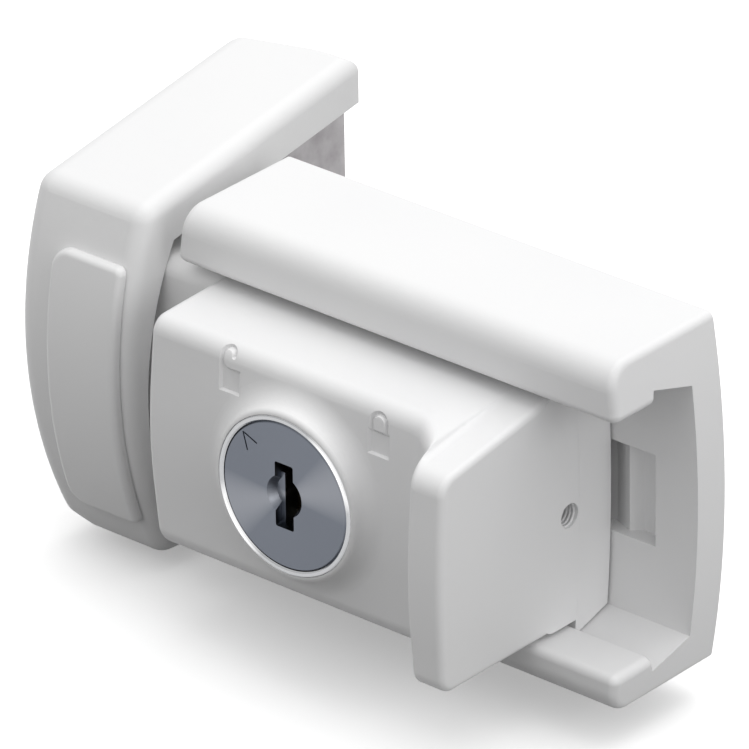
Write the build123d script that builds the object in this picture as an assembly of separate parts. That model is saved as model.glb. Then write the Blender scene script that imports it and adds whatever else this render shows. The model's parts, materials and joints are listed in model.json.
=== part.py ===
from build123d import *
from math import cos, radians, sin, tan
import os

# A surface-mounted window lock. A slide with a key cylinder runs in a C-section
# housing on the sash, and its tongue enters a hooded keeper on the frame.
# Millimetres. X runs along the slide, towards its grip. Y runs into the window,
# Z up. The origin is the middle of the face of the housing that lies on the sash.

# Clearances
slide_gap = 0.3
running_gap = 0.05
seat_gap = 0.1
edge_slack = 0.01

# Reach of cutting shapes, past every side of the lock
far = 100.0

# Housing on the sash
housing_length = 63.0
housing_height = 44.0
housing_depth = 18.0
housing_end_bow = 1.9
back_wall = 4.8
top_arm = 7.0
bottom_arm = 5.2
lip_depth = 6.3
lip_lean = 0.45
undercut = 1.9
front_round = 3.2
lip_round = 1.0
end_round = 1.0

# Screw holes of the housing
housing_hole_pitch = 30.0
housing_hole_rise = 22.0
screw_hole_diameter = 4.5
screw_head_diameter = 8.6

# Slide
slide_travel = 11.0
slide_end = 20.1
slide_end_bow = 1.0
tongue_tip = -43.0
tongue_front = 16.6
tongue_round = 2.0
mouth_gap_top = 1.3
mouth_gap_bottom = 0.5
plate_thickness = 5.6
flange_start = -31.2

# Front of the slide
case_left = -27.4
case_front = 28.5
case_bow = 1.0
case_draft = 2.5
grip_draft = 9.0
case_bow_radius = 80.0
slope_start = 15.0
slope_round = 12.0
case_top_round = 2.2
case_bottom_round = 2.8
case_edge_round = 1.2
grip_front = 35.2
grip_bow = 1.2
grip_thickness = 4.2
grip_hollow = 5.6
grip_top_round = 2.6
grip_bottom_round = 2.2
grip_edge_round = 0.8
grip_lead = 0.3
grip_hollow_turns = (0, 25, 50, 75)
grip_edge_turns = (10, 45, 90)

# Lock cylinder, its axis along Y
axis_x = -5.7
cylinder_face = 30.3
shell_diameter = 18.4
collar_lip = 0.65
collar_width = 0.7
collar_depth = 1.6
collar_chamfer = 0.17
boss_wall = 0.6
boss_flare = 0.7
boss_sink = 3.5
boss_foot_round = 2.8
boss_rim_round = 0.7
head_thickness = 1.3
barrel_diameter = 10.9
shell_recess_diameter = 13.2
shell_recess_depth = 3.9
keyway_width = 2.7
keyway_height = 8.2
keyway_corner = 0.25
keyway_depth = 13.4
eye_diameter = 5.2
eye_floor_diameter = 4.0
eye_depth = 1.1
ward_edge = -0.8
ward_top = 2.3

# Disc tumblers
wafer_count = 5
wafer_pitch = 2.0
wafer_thickness = 0.9
wafer_width = 5.4
wafer_notch = 0.45
wafer_window_width = 2.1
wafer_window_height = 6.4
wafer_spring_diameter = 1.0
wafer_spring_length = 2.4
wafer_spring_gap = 0.4

# Turning parts at the back of the cylinder
plug_turn = 90.0
tail_width = 4.0
tail_length = 1.7
clip_thickness = 0.6
clip_diameter = 12.6
clip_groove_depth = 0.9
clip_opening = 5.0
cam_diameter = 12.2
cam_thickness = 2.1
cam_socket_depth = 1.6
crank_radius = 2.4
crank_pin_diameter = 2.6
crank_pin_length = 2.7
crank_slot_gap = 0.15
crank_slot_round = 1.3

# Locking bolt
bolt_width = 8.0
bolt_thickness = 2.4
bolt_sink = 0.5
bolt_foot = 2.6
bolt_corner = 0.8
notch_gap = 0.3

# Stop pin, detents and small screws
pocket_right = 27.3
pocket_depth = 2.2
pocket_height = 11.6
pocket_ramp = 1.3
pocket_ridge_x = 22.6
pocket_ridge_height = 1.0
stop_pin_diameter = 3.0
stop_pin_length = 5.2
stop_pin_x = 13.6
track_spacing = 6.0
detent_ball_diameter = 4.0
detent_spring_length = 5.0
detent_spring_turns = 5
detent_wire = 0.45
track_clearance = 0.2
index_ball_diameter = 2.0
index_spring_turns = 3
index_wire = 0.24
index_groove_depth = 0.4
index_groove_width = 1.6
grub_diameter = 3.0
grub_length = 6.0
grub_y = -12.4
grub_drop = 0.8
grub_socket = 1.5
plate_screw_diameter = 3.0
plate_screw_head = 5.6
plate_screw_length = 10.5
plate_screw_spacing = 18.0
plate_screw_left = -38.2
plate_screw_right = 6.8
screw_slot_width = 0.75

# Keeper on the frame
keeper_gap = 4.0
keeper_width = 16.2
keeper_left_bow = 1.2
keeper_bow_top = 44.0
keeper_plan_taper = 1.2
keeper_back = 17.5
keeper_back_skew = 3.9
keeper_back_round = 1.4
keeper_front = 23.6
keeper_front_top = 19.6
keeper_front_bottom = 17.8
keeper_bow_height = -1.0
keeper_top = 24.0
keeper_top_slope = 0.165
keeper_top_wall = 5.9
keeper_bottom = 25.9
keeper_bottom_slope = 0.07
keeper_bottom_rise = 4.2
keeper_bottom_bow = 0.8
keeper_bottom_wall = 5.4
keeper_front_wall = 3.6
keeper_front_wall_top = 4.6
keeper_front_wall_bottom = 0.9
keeper_side_wall = 3.0
keeper_edge_round = 2.8
keeper_heel_round = 2.0
keeper_rim_round = 2.0

# Base block inside the keeper
block_right_recess = 2.3
block_wall = 2.4
block_front_wall = 3.0
keeper_hole_spacing = 19.0
keeper_post_diameter = 9.0
access_hole_diameter = 8.6
hood_screw_diameter = 3.0
hood_screw_length = 6.5
hood_screw_head = 5.4
hood_screw_head_height = 2.0
hood_screw_y = 7.0

# Screw cover on the keeper's front
cover_top = 14.3
cover_bottom = -19.4
cover_margin_left = 4.4
cover_margin_right = 1.1
cover_thickness = 1.2
cover_corner = 2.6
cover_inner_corner = 1.0
cover_edge_round = 0.8
cover_peg_length = 2.2

# Places worked out from the sizes above
half_length = housing_length / 2
half_height = housing_height / 2
mouth_top = half_height - top_arm
mouth_bottom = bottom_arm - half_height
wall_face = -back_wall
lip_back = lip_depth - housing_depth
slide_back = wall_face - slide_gap
plate_front = slide_back - plate_thickness
body_top = mouth_top - mouth_gap_top
body_bottom = mouth_bottom + mouth_gap_bottom
axis_z = (body_top + body_bottom) / 2
keeper_right = -half_length - keeper_gap
keeper_left = keeper_right - keeper_width
grub_z = axis_z - grub_drop
track_pin_z = axis_z - track_spacing / 2
track_ball_z = axis_z + track_spacing / 2
pocket_floor = wall_face + pocket_depth
track_tip = pocket_floor - pocket_ridge_height - track_clearance
shell_back = plate_front - seat_gap
plug_step = 2 * cos(radians(45)) * crank_radius
block_x = (keeper_left + keeper_side_wall + keeper_right - block_right_recess) / 2
case_lean = tan(radians(case_draft))
grip_lean = tan(radians(grip_draft))
collar_diameter = shell_diameter + 2 * collar_lip
boss_diameter = collar_diameter + 2 * boss_wall
wafer_spring_offset = (wafer_width + wafer_spring_diameter) / 2 + wafer_spring_gap
first_wafer = -cylinder_face + head_thickness + 2 * wafer_thickness
last_wafer = first_wafer + wafer_pitch * (wafer_count - 1)
index_y = (last_wafer + wafer_thickness + shell_back - shell_recess_depth) / 2
index_ball_low = barrel_diameter / 2 - index_groove_depth + running_gap
index_spring_low = index_ball_low + index_ball_diameter
plate_screw_columns = (plate_screw_left, plate_screw_right)


def outline(points, rounds):
    """Face from corner points, each corner with its own radius."""
    return make_face(FilletPolyline(*points, radius=rounds, close=True))


def along_x(face, x_from, x_to):
    """Solid whose YZ section is the face."""
    return extrude(Plane.YZ.offset(x_from) * face, amount=x_to - x_from)


def along_y(face, y_from, y_to):
    """Solid whose XZ section is the face."""
    return extrude(Plane.XZ.offset(-y_to) * face, amount=y_to - y_from)


def along_z(face, z_from, z_to):
    """Solid whose XY section is the face."""
    return extrude(Plane.XY.offset(z_from) * face, amount=z_to - z_from)


def block(x_from, x_to, y_from, y_to, z_from, z_to):
    """Box between two corners."""
    size = (x_to - x_from, y_to - y_from, z_to - z_from)
    middle = ((x_from + x_to) / 2, (y_from + y_to) / 2, (z_from + z_to) / 2)
    return Pos(*middle) * Box(*size)


def rod_y(x, z, diameter, y_from, y_to):
    """Round rod along Y."""
    return along_y(Pos(x, z) * Circle(diameter / 2), y_from, y_to)


def cone_y(x, z, diameter_from, diameter_to, y_from, y_to):
    """Cone along Y, with its first diameter at y_from."""
    middle = Pos(x, (y_from + y_to) / 2, z) * Rot(-90, 0, 0)
    return middle * Cone(diameter_from / 2, diameter_to / 2, y_to - y_from)


def countersink(x, z, hole, head, y_face, y_end):
    """Screw hole along Y with its countersink at y_face, opening towards -Y."""
    depth = (head - hole) / 2
    return rod_y(x, z, hole, y_face, y_end) + cone_y(x, z, head, hole, y_face, y_face + depth)


def end_line(x, bow, low, high):
    """End of an XZ outline, straight or bowed outwards in an arc."""
    if bow == 0:
        return Line((x, low), (x, high))
    return ThreePointArc((x, low), (x + bow, (low + high) / 2), (x, high))


def bowed_end_outline(left, right, bow_left, bow_right, low, high):
    """XZ outline with flat top and bottom and arcs for its ends."""
    lines = [
        Line((left, low), (right, low)),
        end_line(right, bow_right, low, high),
        Line((right, high), (left, high)),
        end_line(left, -bow_left, low, high),
    ]
    return make_face(Curve() + lines)


def groove_edge(gap):
    """Corner points of the undercut groove, drawn in by a gap all round."""
    top, low = mouth_top, mouth_bottom
    step_back = lip_back + lip_lean
    return [
        (wall_face - gap, low + gap),
        (step_back + gap, low - undercut + gap),
        (lip_back + gap, low + gap),
        (lip_back + gap, top - gap),
        (step_back + gap, top + undercut - gap),
        (wall_face - gap, top - gap),
    ]


def stop_pocket():
    """Pocket in the back wall: square end, ridge for the detent, ramp at the open end."""
    left = stop_pin_x - stop_pin_diameter / 2 - slide_gap
    floor, ridge = pocket_floor, pocket_floor - pocket_ridge_height
    section = Polyline(
        (left, wall_face - slide_gap),
        (left, floor),
        (pocket_ridge_x - pocket_ramp * 2, floor),
        (pocket_ridge_x, ridge),
        (pocket_ridge_x + pocket_ramp, floor),
        (pocket_right - pocket_ramp, floor),
        (pocket_right, wall_face),
        (pocket_right, wall_face - slide_gap),
        close=True,
    )
    return along_z(make_face(section), axis_z - pocket_height / 2, axis_z + pocket_height / 2)


def base_housing():
    """C-section casting with undercut lips and bowed ends."""
    depth, height = -housing_depth, half_height
    corners = [(0, -height), (depth, -height), (depth, mouth_bottom), (lip_back, mouth_bottom)]
    corners += [(lip_back + lip_lean, mouth_bottom - undercut), (wall_face, mouth_bottom)]
    corners += [(wall_face, mouth_top), (lip_back + lip_lean, mouth_top + undercut)]
    corners += [(lip_back, mouth_top), (depth, mouth_top), (depth, height), (0, height)]
    rounds = [0, front_round, lip_round, 0, 0, 0, 0, 0, 0, lip_round, front_round, 0]
    reach = half_length + housing_end_bow
    casting = along_x(outline(corners, rounds), -reach, reach)
    ends = bowed_end_outline(
        -half_length, half_length, housing_end_bow, housing_end_bow, -height, height)
    casting &= along_y(ends, depth, 0)
    rims = casting.edges().filter_by(lambda e: abs(e.center().X) > half_length - lip_round)
    outer = rims.filter_by(lambda e: abs(e.center().Z) > height - front_round / 2)
    casting = fillet(outer.filter_by(lambda e: e.center().Y < 0), end_round)
    casting -= stop_pocket()
    reach_x, reach_z = housing_hole_pitch / 2, housing_hole_rise / 2
    for x in (-reach_x, reach_x):
        for z in (axis_z - reach_z, axis_z + reach_z):
            casting -= countersink(x, z, screw_hole_diameter, screw_head_diameter, wall_face, 0)
    notch_top = bolt_top() + plug_step + notch_gap
    half_notch = bolt_width / 2 + notch_gap
    for shift in (0, slide_travel):
        middle = axis_x + shift
        casting -= block(
            middle - half_notch, middle + half_notch,
            plate_front - notch_gap, plate_front + bolt_room() + notch_gap,
            mouth_top - undercut, notch_top)
    return casting


def bolt_room():
    """Depth of the bolt's channel in the slide plate."""
    return bolt_thickness + 2 * seat_gap + slide_gap


def bolt_top():
    """Height of the withdrawn bolt's end, just inside the slide plate."""
    slope = undercut / (wall_face - lip_back - lip_lean)
    edge = mouth_top + slope * (wall_face - plate_front - bolt_room())
    return edge - bolt_sink - slide_gap


def slide_plate():
    """Flanged plate that runs behind the lips."""
    flanges = make_face(Polyline(*groove_edge(slide_gap), close=True))
    plate = along_x(flanges, flange_start, slide_end + slide_end_bow)
    plate &= block(flange_start, slide_end + slide_end_bow, plate_front, slide_back,
                   -half_height, half_height)
    plate += block(tongue_tip, flange_start, plate_front, slide_back, body_bottom, body_top)
    ends = bowed_end_outline(
        tongue_tip, slide_end, 0, slide_end_bow, -half_height, half_height)
    plate &= along_y(ends, plate_front, slide_back)
    half_channel = bolt_width / 2 + seat_gap
    channel_low = axis_z - plug_step / 2 - crank_pin_diameter / 2 - bolt_foot - 2 * slide_gap
    plate -= block(axis_x - half_channel, axis_x + half_channel,
                   plate_front, plate_front + bolt_room(), channel_low, half_height)
    for x in plate_screw_columns:
        for z in (axis_z - plate_screw_spacing / 2, axis_z + plate_screw_spacing / 2):
            hole = plate_screw_diameter + 2 * seat_gap
            head = plate_screw_head + 2 * seat_gap
            sink = (head - hole) / 2
            plate -= rod_y(x, z, hole, plate_front, slide_back)
            plate -= cone_y(x, z, hole, head, slide_back - sink, slide_back)
    plate -= rod_y(stop_pin_x, track_pin_z, stop_pin_diameter, plate_front, slide_back)
    plate -= rod_y(stop_pin_x, track_ball_z, detent_ball_diameter + 2 * running_gap,
                   plate_front, slide_back)
    return plate


def plate_screws():
    """Countersunk screws from the plate into the body of the slide."""
    head_depth = (plate_screw_head - plate_screw_diameter) / 2
    face = slide_back - seat_gap
    screws = []
    for x in plate_screw_columns:
        for z in (axis_z - plate_screw_spacing / 2, axis_z + plate_screw_spacing / 2):
            screw = rod_y(x, z, plate_screw_diameter, face - plate_screw_length, face - head_depth)
            screw += cone_y(x, z, plate_screw_diameter, plate_screw_head,
                            face - head_depth, face)
            slot = Pos(x, face, z) * Box(plate_screw_head, head_depth, screw_slot_width)
            screws.append(screw - slot)
    return Compound(children=screws)


def front_section(front, bow, lean, top_round, bottom_round):
    """YZ outline of a front part: sloping top, bowed front, rounded corners."""
    side = front - bow
    top = body_top - lean * (side - slope_start)
    corners = [(plate_front, body_bottom), (plate_front, body_top), (-slope_start, body_top)]
    corners += [(-side, top), (-front, (top + body_bottom) / 2), (-side, body_bottom)]
    return outline(corners, [0, 0, slope_round, top_round, case_bow_radius, bottom_round])


def grip_stations():
    """Places along X and front depths through the hollow and the grip's rounded edge."""
    wall, root = slide_end - grip_thickness, slide_end - grip_thickness - grip_hollow
    rise = grip_front - case_front - grip_hollow
    stations = [(root - grip_lead, case_front)]
    for turn in grip_hollow_turns:
        stations.append((root + grip_hollow * sin(radians(turn)),
                         case_front + grip_hollow * (1 - cos(radians(turn)))))
    for turn in grip_edge_turns:
        stations.append((wall + rise * (1 - cos(radians(turn))),
                         grip_front - rise * (1 - sin(radians(turn)))))
    return stations


def grip_section(front):
    """YZ outline between that of the case and that of the grip."""
    share = (front - case_front) / (grip_front - case_front)
    bow = case_bow + share * (grip_bow - case_bow)
    lean = case_lean + share * (grip_lean - case_lean)
    top_round = case_top_round + share * (grip_top_round - case_top_round)
    bottom_round = case_bottom_round + share * (grip_bottom_round - case_bottom_round)
    return front_section(front, bow, lean, top_round, bottom_round)


def tongue():
    """Full-length neck between the lips, with its front edges rounded."""
    corners = [(plate_front, body_bottom), (plate_front, body_top)]
    corners += [(-tongue_front, body_top), (-tongue_front, body_bottom)]
    rounds = [0, 0, tongue_round, tongue_round]
    return along_x(outline(corners, rounds), tongue_tip, slide_end + slide_end_bow)


def cylinder_boss():
    """Raised ring round the cylinder, before it is blended into the case."""
    foot = boss_diameter + 2 * boss_flare
    ring = cone_y(axis_x, axis_z, boss_diameter, foot, -cylinder_face, boss_sink - case_front)
    return fillet(ring.edges().group_by(Axis.Y)[0], boss_rim_round)


def slide_front():
    """Case and finger grip, with their edges rounded."""
    stations = grip_stations()
    case = along_x(grip_section(case_front), case_left - slide_end_bow, stations[0][0])
    hollow = loft([Plane.YZ.offset(x) * grip_section(front) for x, front in stations])
    grip = along_x(grip_section(grip_front), stations[-1][0], slide_end + slide_end_bow)
    ends = bowed_end_outline(
        case_left, slide_end, slide_end_bow, slide_end_bow, -half_height, half_height)
    front = (case + hollow + grip) & along_y(ends, -far, plate_front)
    left_rim = front.edges().filter_by(
        lambda e: e.center().X < case_left + case_edge_round and e.center().Y < -tongue_front)
    front = fillet(left_rim, case_edge_round)
    grip_rim = front.edges().filter_by(
        lambda e: e.center().X > slide_end and e.center().Y < -tongue_front - case_top_round)
    return fillet(grip_rim, grip_edge_round)


def slider_body():
    """White casting: tongue, case, boss and finger grip."""
    case, boss = slide_front() + tongue(), cylinder_boss()
    body = case + boss
    body = fillet(new_edges(case, boss, combined=body), boss_foot_round)
    tip = bowed_end_outline(tongue_tip, slide_end, 0, slide_end_bow, -half_height, half_height)
    body &= along_y(tip, -far, plate_front)
    body -= rod_y(axis_x, axis_z, shell_diameter + 2 * running_gap,
                  -cylinder_face - seat_gap, plate_front)
    body -= rod_y(axis_x, axis_z, collar_diameter, -cylinder_face - seat_gap,
                  -cylinder_face + collar_depth)
    body -= grub_bore()
    for x in plate_screw_columns:
        for z in (axis_z - plate_screw_spacing / 2, axis_z + plate_screw_spacing / 2):
            body -= rod_y(x, z, plate_screw_diameter,
                          slide_back - plate_screw_length - 2 * seat_gap, plate_front)
    body -= rod_y(stop_pin_x, track_ball_z, detent_ball_diameter + 2 * running_gap,
                  detent_seat(), plate_front)
    return body


def grub_bore():
    """Threaded hole from the end of the slide to the side of the cylinder."""
    return Pos(axis_x, grub_y, grub_z) * Rot(0, 90, 0) * Cylinder(
        grub_diameter / 2, far, align=(Align.CENTER, Align.CENTER, Align.MIN))


def detent_seat():
    """Depth of the bore that holds the detent spring."""
    return track_tip - detent_ball_diameter - detent_spring_length


def coil(x, z, diameter, wire, turns, y_from, y_to):
    """Small compression spring along Y, as a helix of round wire."""
    length = y_to - y_from - wire
    path = Helix(pitch=length / turns, height=length, radius=diameter / 2 - wire / 2)
    section = Plane(origin=path @ 0, z_dir=path % 0) * Circle(wire / 2)
    spring = sweep(section, path=path)
    return Pos(x, y_from + wire / 2, z) * Rot(-90, 0, 0) * spring


def cylinder_shell():
    """Body of the lock cylinder, with its rear recess for clip and cam."""
    front = -cylinder_face + head_thickness + running_gap
    shell = rod_y(axis_x, axis_z, shell_diameter, front, shell_back)
    shell -= rod_y(axis_x, axis_z, barrel_diameter + 2 * running_gap, front, shell_back)
    shell -= rod_y(axis_x, axis_z, shell_recess_diameter,
                   shell_back - shell_recess_depth, shell_back)
    radial = Pos(axis_x, index_y, axis_z) * Cylinder(
        index_ball_diameter / 2 + running_gap, shell_diameter,
        align=(Align.CENTER, Align.CENTER, Align.MIN))
    return shell - radial


def cylinder_collar():
    """Bright ring round the face of the cylinder."""
    ring = rod_y(axis_x, axis_z, collar_diameter, -cylinder_face - seat_gap,
                 -cylinder_face + collar_depth)
    inner = collar_diameter - 2 * collar_width
    ring -= rod_y(axis_x, axis_z, inner, -cylinder_face - seat_gap,
                  -cylinder_face + head_thickness)
    ring -= rod_y(axis_x, axis_z, shell_diameter, -cylinder_face + head_thickness,
                  -cylinder_face + collar_depth)
    front_edges = ring.edges().group_by(Axis.Y)[0]
    return chamfer(front_edges, collar_chamfer)


def keyway():
    """Keyway: a slot through a conical eye, and behind the eye a ward on the left."""
    front, floor = -cylinder_face, eye_depth - cylinder_face
    slot = RectangleRounded(keyway_width, keyway_height, keyway_corner)
    mouth = along_y(Pos(axis_x, axis_z) * slot, front, floor)
    mouth += cone_y(axis_x, axis_z, eye_diameter, eye_floor_diameter, front, floor)
    ward = Pos(ward_edge - eye_diameter / 2, ward_top - keyway_height / 2) * Rectangle(
        eye_diameter, keyway_height)
    passage = slot + Circle(eye_floor_diameter / 2) - ward
    return mouth + along_y(Pos(axis_x, axis_z) * passage, floor - seat_gap, front + keyway_depth)


def wafer_places():
    """Y of each wafer's front."""
    return [first_wafer + wafer_pitch * i for i in range(wafer_count)]


def cylinder_plug():
    """Plug with its face, keyway, wafer slots, clip groove and square tail."""
    head = collar_diameter - 2 * collar_width - 2 * running_gap
    back = shell_back - cam_thickness - tail_length + cam_socket_depth
    face = rod_y(axis_x, axis_z, head, -cylinder_face, -cylinder_face + head_thickness)
    barrel = rod_y(axis_x, axis_z, barrel_diameter, -cylinder_face + head_thickness / 2, back)
    tail_end = back + tail_length - 2 * running_gap
    tail = block(axis_x - tail_width / 2, axis_x + tail_width / 2, back - head_thickness,
                 tail_end, axis_z - tail_width / 2, axis_z + tail_width / 2)
    plug = chamfer(face.edges().group_by(Axis.Y)[0], collar_chamfer) + barrel + tail
    plug -= keyway()
    for y in wafer_places():
        slot = Pos(axis_x, axis_z) * Rectangle(wafer_width + 2 * running_gap, 2 * barrel_diameter)
        plug -= along_y(slot, y - running_gap, y + wafer_thickness + running_gap)
        plug -= wafer_spring(y, wafer_spring_diameter + 2 * running_gap, running_gap)
    clip_y = clip_front()
    groove = rod_y(axis_x, axis_z, clip_diameter, clip_y, clip_y + clip_thickness)
    core = barrel_diameter - 2 * clip_groove_depth
    groove -= rod_y(axis_x, axis_z, core, clip_y, clip_y + clip_thickness)
    plug -= groove
    return plug - index_track()


def index_track():
    """Shallow groove for the index ball, round the quarter that the plug turns."""
    outer, inner = barrel_diameter / 2 + index_groove_depth, barrel_diameter / 2 - index_groove_depth
    half = index_ball_diameter / 2
    ring = Pos(axis_x, index_y, axis_z) * Rot(90, 0, 0) * (
        Cylinder(outer, index_groove_width) - Cylinder(inner, 2 * index_groove_width))
    return ring & block(axis_x - far, axis_x + half, -far, far, axis_z - half, axis_z + far)


def wafer_spring(y, diameter, gap):
    """Rod in the place of one wafer's spring."""
    half = wafer_spring_length / 2 + gap
    middle = Pos(axis_x + wafer_spring_offset, y + wafer_thickness / 2, axis_z)
    return middle * Cylinder(diameter / 2, 2 * half)


def wafers():
    """Disc tumblers: thin plates with a window for the key."""
    plates = []
    for y in wafer_places():
        plate = Circle(barrel_diameter / 2 - running_gap) & Rectangle(wafer_width, barrel_diameter)
        plate -= Rectangle(wafer_window_width, wafer_window_height)
        plate -= Pos(wafer_width / 2, 0) * Rectangle(
            2 * wafer_notch, wafer_spring_length + 4 * running_gap)
        plates.append(along_y(Pos(axis_x, axis_z) * plate, y, y + wafer_thickness))
    return Compound(children=plates)


def wafer_springs():
    """One small spring beside each wafer."""
    return Compound(children=[wafer_spring(y, wafer_spring_diameter, 0) for y in wafer_places()])


def clip_front():
    """Y of the retaining clip's front."""
    return shell_back - shell_recess_depth + running_gap


def retaining_clip():
    """Open ring in the groove of the plug, which keeps it in the shell."""
    y_from, y_to = clip_front() + running_gap / 2, clip_front() + clip_thickness
    ring = rod_y(axis_x, axis_z, clip_diameter, y_from, y_to)
    core = barrel_diameter - 2 * clip_groove_depth + 2 * running_gap
    ring -= rod_y(axis_x, axis_z, core, y_from, y_to)
    return ring - block(axis_x - clip_opening / 2, axis_x + clip_opening / 2, y_from, y_to,
                        axis_z - clip_diameter, axis_z)


def drive_cam():
    """Disc on the square tail with the eccentric pin that lifts the bolt."""
    front = shell_back - cam_thickness - seat_gap
    cam = rod_y(axis_x, axis_z, cam_diameter, front, front + cam_thickness)
    half = tail_width / 2 + running_gap / 2
    cam -= block(axis_x - half, axis_x + half, front, front + cam_socket_depth,
                 axis_z - half, axis_z + half)
    offset = plug_step / 2
    cam += rod_y(axis_x - offset, axis_z - offset, crank_pin_diameter,
                 front + cam_thickness, front + cam_thickness + crank_pin_length)
    return cam


def lock_bolt():
    """Flat bolt with a cross slot for the eccentric pin."""
    y_from = plate_front + seat_gap + slide_gap / 2
    pin_z = axis_z - plug_step / 2
    low = pin_z - crank_pin_diameter / 2 - bolt_foot
    high = bolt_top()
    corners = [(axis_x - bolt_width / 2, low), (axis_x + bolt_width / 2, low)]
    corners += [(axis_x + bolt_width / 2, high), (axis_x - bolt_width / 2, high)]
    plate = outline(corners, [bolt_corner] * 4)
    reach = crank_pin_diameter / 2 + crank_slot_gap
    slot_left, slot_right = -crank_radius - reach, -plug_step / 2 + reach
    slot = Pos(axis_x + (slot_left + slot_right) / 2, pin_z) * Rectangle(
        slot_right - slot_left, 2 * reach)
    slot = fillet(slot.vertices(), crank_slot_round)
    return along_y(plate - slot, y_from, y_from + bolt_thickness)


def stop_pin():
    """Pin in the slide plate that stops on the ends of the pocket."""
    return rod_y(stop_pin_x, track_pin_z, stop_pin_diameter,
                 track_tip - stop_pin_length, track_tip)


def detent_ball():
    """Ball that clicks over the ridge in the pocket."""
    return Pos(stop_pin_x, track_tip - detent_ball_diameter / 2, track_ball_z) * Sphere(
        detent_ball_diameter / 2)


def detent_spring():
    """Spring behind the detent ball."""
    back = track_tip - detent_ball_diameter
    return coil(stop_pin_x, track_ball_z, detent_ball_diameter - 4 * running_gap, detent_wire,
                detent_spring_turns, detent_seat() + running_gap, back)


def index_ball():
    """Ball that clicks the plug into its two positions."""
    radius = index_ball_diameter / 2
    return Pos(axis_x, index_y, axis_z + index_ball_low + radius) * Sphere(radius)


def index_spring():
    """Spring above the index ball."""
    length = shell_diameter / 2 - index_spring_low - running_gap
    spring = coil(0, 0, index_ball_diameter - 2 * running_gap, index_wire,
                  index_spring_turns, 0, length)
    return Pos(axis_x, index_y, axis_z + index_spring_low) * Rot(90, 0, 0) * spring


def grub_screw():
    """Headless screw against the cylinder, deep in the threaded hole."""
    start = axis_x + shell_diameter / 2 + running_gap
    screw = Cylinder(grub_diameter / 2 - running_gap, grub_length,
                     align=(Align.CENTER, Align.CENTER, Align.MIN))
    socket = Pos(0, 0, grub_length - grub_socket) * extrude(
        RegularPolygon(grub_socket / 2, 6), amount=grub_socket)
    return Pos(start, grub_y, grub_z) * Rot(0, 90, 0) * (screw - socket)


def keeper_top_at(y, drop=0.0):
    """Height of the keeper's sloping top at a depth."""
    return keeper_top - drop + keeper_top_slope * y


def keeper_bottom_at(y, lift=0.0):
    """Height of the keeper's sloping underside at a depth."""
    return -keeper_bottom + lift - keeper_bottom_slope * y


def keeper_outer(offset=0.0):
    """YZ outline of the hood, bowed at the front, with its front moved out by an offset."""
    top_y, low_y = -keeper_front_top - offset, -keeper_front_bottom - offset
    top_point, low_point = (top_y, keeper_top_at(top_y)), (low_y, keeper_bottom_at(low_y))
    back_low = (keeper_back, keeper_bottom_at(keeper_back))
    back_top = (keeper_back, keeper_top_at(keeper_back))
    lines = [
        Line(back_low, back_top),
        Line(back_top, top_point),
        ThreePointArc(top_point, (-keeper_front - offset, keeper_bow_height), low_point),
        Line(low_point, back_low),
    ]
    return make_face(Curve() + lines)


def keeper_elevation():
    """XZ outline of the hood: bowed left side, underside rising to the left."""
    left, right, top = keeper_left, keeper_right, keeper_bow_top
    low = -keeper_bottom - keeper_bottom_slope * keeper_front_bottom
    corner = (left, low + keeper_bottom_rise)
    middle = ((left + right) / 2, low + keeper_bottom_rise / 2 - keeper_bottom_bow)
    lines = [
        Line((right, low), (right, top)),
        Line((right, top), (left, top)),
        ThreePointArc((left, top), (left - keeper_left_bow, 0), corner),
        ThreePointArc(corner, middle, (right, low)),
    ]
    return make_face(Curve() + lines)


def keeper_plan():
    """XY outline of the hood: left side drawn in to the back, back edge skewed."""
    left = keeper_left - keeper_left_bow
    corners = [(keeper_right, -far), (keeper_right, keeper_back)]
    corners += [(left + keeper_plan_taper, keeper_back - keeper_back_skew)]
    corners += [(left, -keeper_front), (left, -far)]
    return outline(corners, [0, 0, keeper_heel_round, 0, 0])


def keeper_heel():
    """YZ outline that rounds the hood's top where it meets the frame."""
    corners = [(-far, -far), (keeper_back, -far), (keeper_back, keeper_top_at(keeper_back))]
    corners += [(-far, keeper_top_at(-far))]
    return outline(corners, [0, 0, keeper_back_round, 0])


def keeper_inner():
    """YZ outline of the room inside the hood."""
    front_top = -keeper_front_top + keeper_front_wall_top
    front_low = -keeper_front_bottom + keeper_front_wall_bottom
    top_in = keeper_top_at(front_top, keeper_top_wall)
    low_in = keeper_bottom_at(front_low, keeper_bottom_wall)
    back = keeper_back + keeper_side_wall
    low_back = (back, keeper_bottom_at(back, keeper_bottom_wall))
    top_back = (back, keeper_top_at(back, keeper_top_wall))
    lines = [
        Line(low_back, top_back),
        Line(top_back, (front_top, top_in)),
        ThreePointArc((front_top, top_in), (-keeper_front + keeper_front_wall, keeper_bow_height),
                      (front_low, low_in)),
        Line((front_low, low_in), low_back),
    ]
    return make_face(Curve() + lines)


def keeper_body(offset=0.0):
    """Solid of the hood before it is hollowed, its front moved out by an offset."""
    reach = keeper_width + keeper_left_bow + keeper_plan_taper
    solid = along_x(keeper_outer(offset), keeper_right - reach, keeper_right)
    solid &= along_y(keeper_elevation(), -far, keeper_back)
    outer = solid.edges().filter_by(
        lambda e: e.center().X < keeper_right - seat_gap and e.center().Y < keeper_back - seat_gap)
    solid = fillet(outer, keeper_edge_round)
    return solid & along_z(keeper_plan(), -far, far)


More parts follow.
